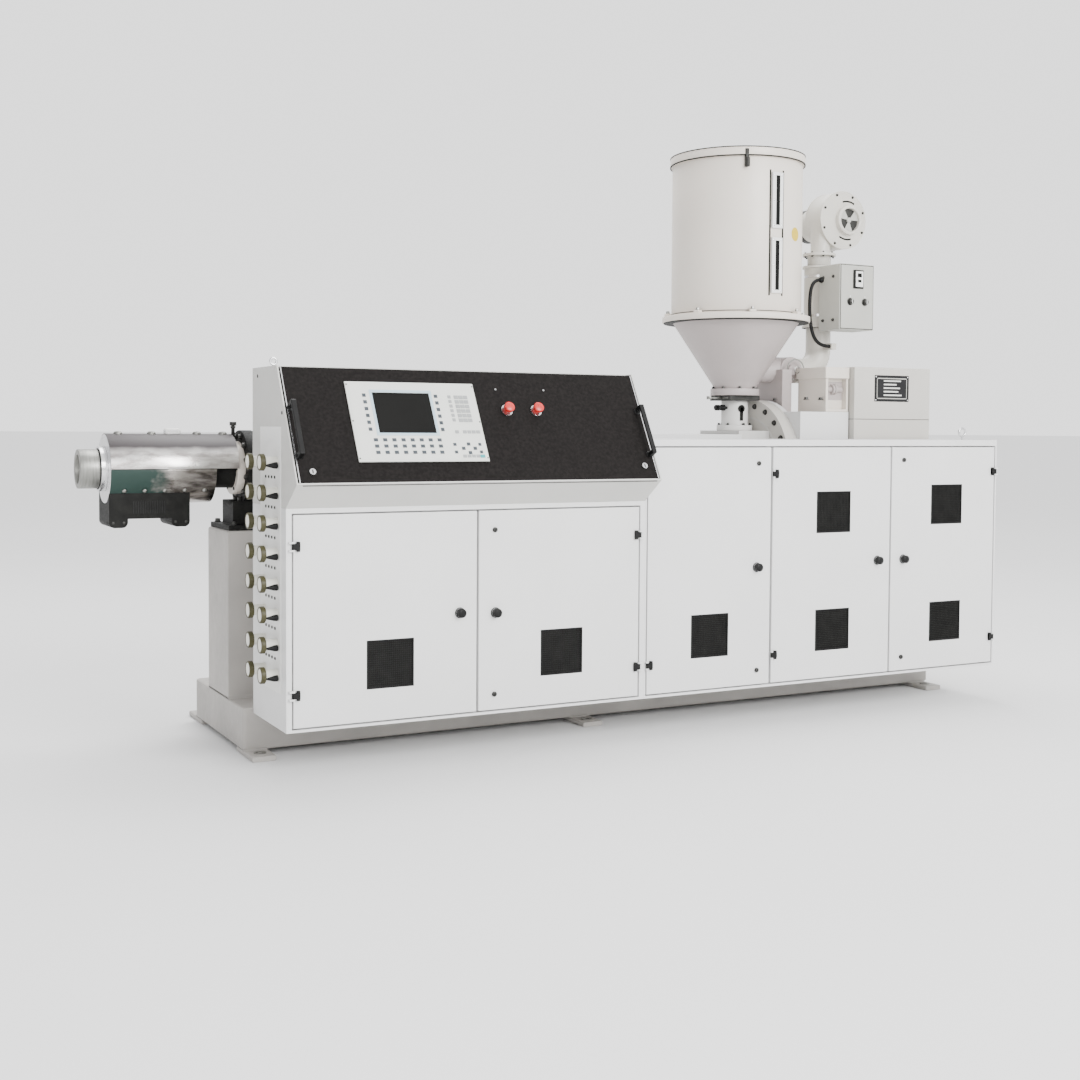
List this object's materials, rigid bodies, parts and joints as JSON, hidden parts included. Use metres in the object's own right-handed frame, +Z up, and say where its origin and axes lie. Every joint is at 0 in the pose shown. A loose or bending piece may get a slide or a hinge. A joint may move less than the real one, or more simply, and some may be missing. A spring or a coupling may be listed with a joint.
{
  "type": "plastic extruder",
  "caption": "Single-screw plastic extruder with sloping control console, cabinets with hinged doors, heated barrel, hopper dryer and gearbox on a steel bed.",
  "frame": {"origin": "centre of the four corner foundation bolts on the floor, below the screw line", "axes": "+X along the screw from the nozzle to the drive, +Y from the operator side to the back, +Z up"},
  "size_m": [3.749, 1.29, 2.402],
  "materials": {
    "light_grey_paint": "light grey powder coat",
    "base_grey_paint": "grey enamel",
    "black_texture": "black wrinkle paint",
    "black_plastic": "black moulded plastic",
    "panel_plastic": "pale grey membrane panel",
    "screen_glass": "dark display window",
    "red_plastic": "red mushroom caps",
    "bright_steel": "bright plated",
    "connector_ceramic": "cream ceramic and plastic",
    "barrel_steel": "machined alloy steel",
    "shell_steel": "polished stainless sheet",
    "cream_paint": "cream enamel",
    "grey_cast": "warm grey paint",
    "sight_glass": "dark sight window in a white frame",
    "plate_black": "black data plate without text",
    "cable_rubber": "black cable"
  },
  "bodies": {
    "machine": {"air_heater_duct": "cream_paint", "barrel_cover": "light_grey_paint", "barrel_end_ring": "cream_paint", "barrel_flange": "black_texture", "barrel_pedestal": "base_grey_paint", "barrel_support_bracket": "black_texture", "base_frame": "base_grey_paint", "blower_motor": "cream_paint", "cabinet_hinge_pins": "light_grey_paint", "connector_plate": "light_grey_paint", "console_housing": "light_grey_paint", "control_cabinet": "light_grey_paint", "coupling_guard": "light_grey_paint", "drive_cabinet": "light_grey_paint", "drive_stands": "base_grey_paint", "dryer_blower": "cream_paint", "dryer_cable": "cable_rubber", "dryer_control_box": "cream_paint", "feed_section": "light_grey_paint", "floor_feet": "base_grey_paint", "gate_housing": "light_grey_paint", "gearbox": "light_grey_paint", "gearbox_flange": "light_grey_paint", "heater_connectors": "connector_ceramic", "heater_fan": "black_texture", "heater_shell_lower": "shell_steel", "heater_shell_upper": "shell_steel", "hopper_clamp_flange": "cream_paint", "hopper_cone": "grey_cast", "hopper_drum": "cream_paint", "hopper_lid": "cream_paint", "hopper_sight_glasses": "sight_glass", "hopper_throat": "light_grey_paint", "hot_air_elbow": "grey_cast", "hot_air_inlet": "grey_cast", "lifting_eyes": "bright_steel", "melt_pressure_sensor": "barrel_steel", "motor_housing": "light_grey_paint", "nozzle": "barrel_steel", "rating_plate": "plate_black", "screw_barrel": "barrel_steel"},
    "door_1_leaf": {"door_1": "light_grey_paint", "door_1_fittings": "black_plastic"},
    "door_2_leaf": {"door_2": "light_grey_paint", "door_2_fittings": "black_plastic"},
    "door_3_leaf": {"door_3": "light_grey_paint", "door_3_fittings": "black_plastic"},
    "door_4_leaf": {"door_4": "light_grey_paint", "door_4_fittings": "black_plastic"},
    "door_5_leaf": {"door_5": "light_grey_paint", "door_5_fittings": "black_plastic"},
    "console_lid_assembly": {"console_handles": "black_plastic", "console_lid": "black_texture", "console_lid_locks": "bright_steel", "emergency_stop_buttons": "red_plastic", "emergency_stop_rings": "bright_steel", "operator_panel": "panel_plastic", "operator_screen": "screen_glass"},
    "slide_gate_blade": {"slide_gate": "barrel_steel"}
  },
  "joints": [
    {"name": "door_1_hinge", "type": "hinge", "parent": "machine", "child": "door_1_leaf", "pos_m": [-1.54, -0.729, 0.524], "axis": [0, 0, 1], "range_deg": [-110, 0]},
    {"name": "door_2_hinge", "type": "hinge", "parent": "machine", "child": "door_2_leaf", "pos_m": [-0.188, -0.729, 0.524], "axis": [0, 0, 1], "range_deg": [0, 90]},
    {"name": "door_3_hinge", "type": "hinge", "parent": "machine", "child": "door_3_leaf", "pos_m": [-0.151, -0.729, 0.6355], "axis": [0, 0, 1], "range_deg": [-90, 0]},
    {"name": "door_4_hinge", "type": "hinge", "parent": "machine", "child": "door_4_leaf", "pos_m": [0.433, -0.729, 0.6355], "axis": [0, 0, 1], "range_deg": [-110, 0]},
    {"name": "door_5_hinge", "type": "hinge", "parent": "machine", "child": "door_5_leaf", "pos_m": [1.628, -0.729, 0.6355], "axis": [0, 0, 1], "range_deg": [0, 110]},
    {"name": "console_lid_hinge", "type": "hinge", "parent": "machine", "child": "console_lid_assembly", "pos_m": [-0.864, -0.62053, 1.36005], "axis": [-1, 0, 0], "range_deg": [0, 70]},
    {"name": "slide_gate_travel", "type": "slide", "parent": "machine", "child": "slide_gate_blade", "axis": [-1, 0, 0], "range_m": [0, 0.12]}
  ]
}
